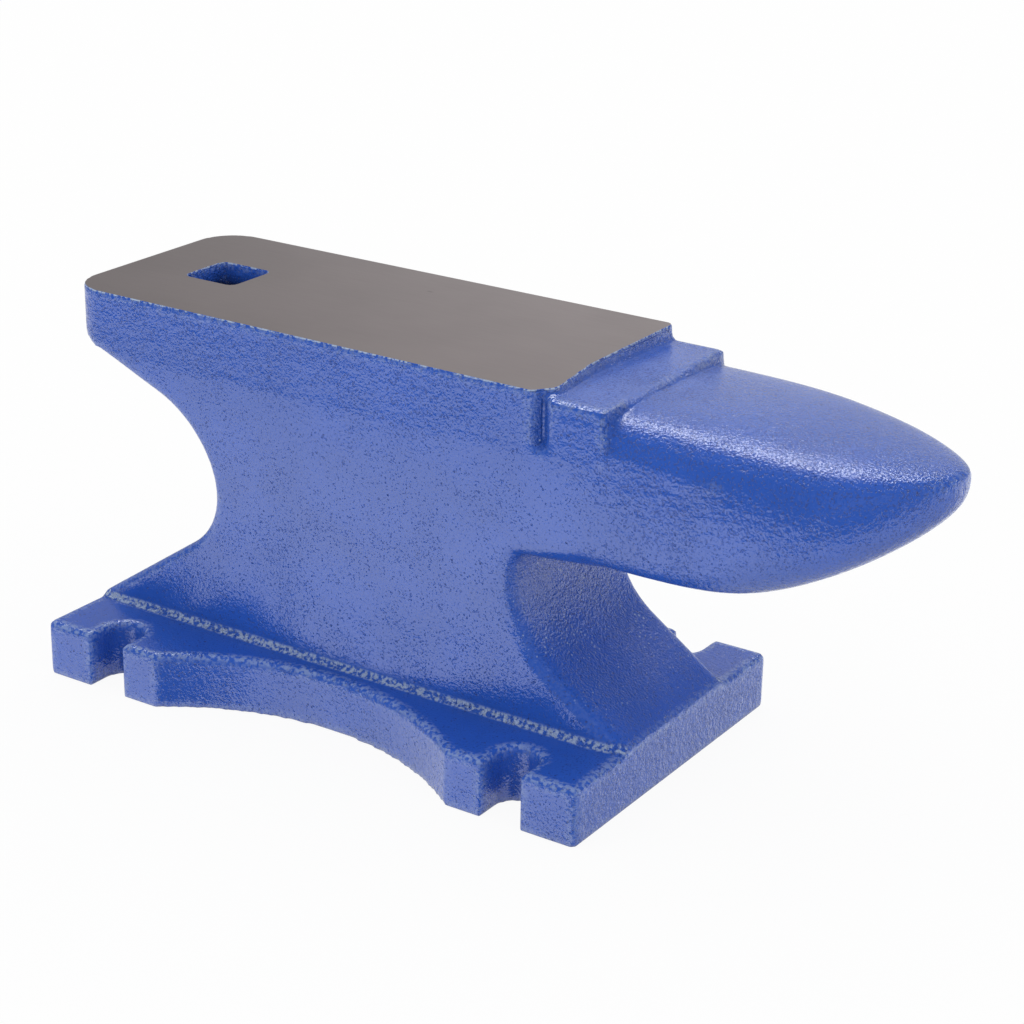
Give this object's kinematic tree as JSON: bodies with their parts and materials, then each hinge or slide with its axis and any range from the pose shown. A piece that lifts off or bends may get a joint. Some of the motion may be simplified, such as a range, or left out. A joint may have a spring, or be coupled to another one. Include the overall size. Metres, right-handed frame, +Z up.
{
  "type": "anvil",
  "caption": "Shop anvil with a bolt-down base, narrow waist, heel, table and round-shouldered horn, and a welded-on hardened face plate with a square hardy hole.",
  "frame": {"origin": "centre of the base's underside", "axes": "+X along the anvil towards the horn, +Y to the left, +Z up"},
  "size_m": [0.3682, 0.146, 0.1627],
  "materials": {
    "enamel": "gloss blue enamel over rough cast steel",
    "ground_steel": "surface-ground steel working face, blue enamel on its sides"
  },
  "bodies": {
    "root": {"cast_body": "enamel", "face_plate": "ground_steel", "side_weld_right": "enamel", "side_weld_left": "enamel", "heel_weld": "enamel", "front_weld": "enamel"}
  },
  "joints": []
}
